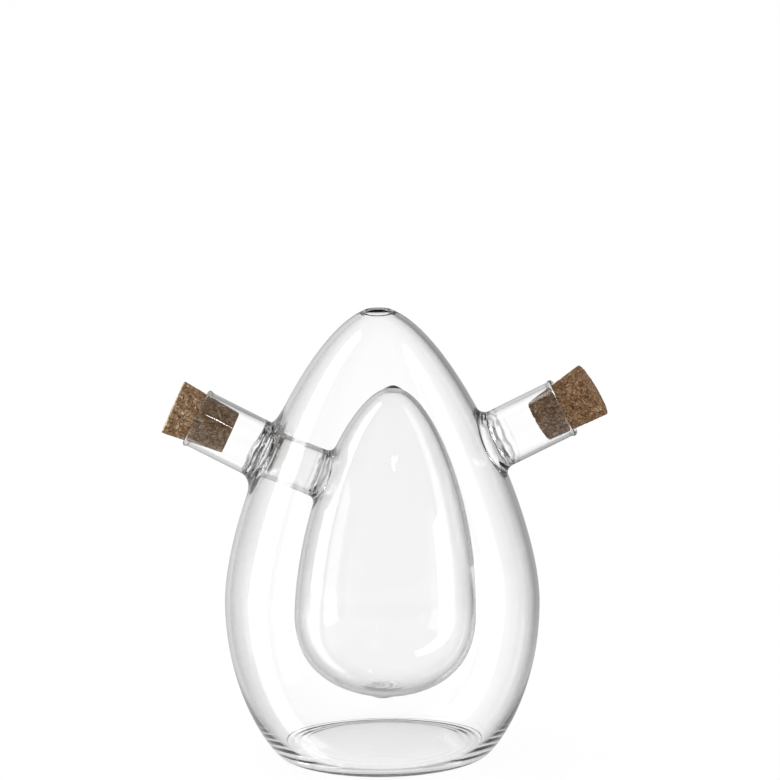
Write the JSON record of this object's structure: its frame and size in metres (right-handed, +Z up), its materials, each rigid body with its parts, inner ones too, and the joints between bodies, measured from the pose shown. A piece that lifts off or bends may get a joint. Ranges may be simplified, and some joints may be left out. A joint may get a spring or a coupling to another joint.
{
  "type": "oil and vinegar cruet",
  "caption": "Egg-shaped clear glass cruet with a second egg fused inside it, slanting corked necks on opposite sides and a small vent in the crown.",
  "frame": {"origin": "middle of the standing ring, on the table, on the outer egg's upright axis", "axes": "+Z up; +X towards the oil neck, -X towards the vinegar neck; +Y to the back, away from the picture's viewer"},
  "size_m": [0.1374, 0.097, 0.1392],
  "materials": {
    "clear_glass": "clear free-blown borosilicate glass, fire-polished at the mouths and the vent",
    "cork": "agglomerated cork of pressed brown granules, matt"
  },
  "bodies": {
    "vessel": {"glass_vessel": "clear_glass"},
    "vinegar_stopper": {"vinegar_cork": "cork"},
    "oil_stopper": {"oil_cork": "cork"}
  },
  "joints": [
    {"name": "vinegar_cork_pull", "type": "slide", "parent": "vessel", "child": "vinegar_stopper", "axis": [-0.9063, 0, 0.4226], "range_m": [0, 0.03]},
    {"name": "oil_cork_pull", "type": "slide", "parent": "vessel", "child": "oil_stopper", "axis": [0.859, 0, 0.512], "range_m": [0, 0.03]}
  ]
}
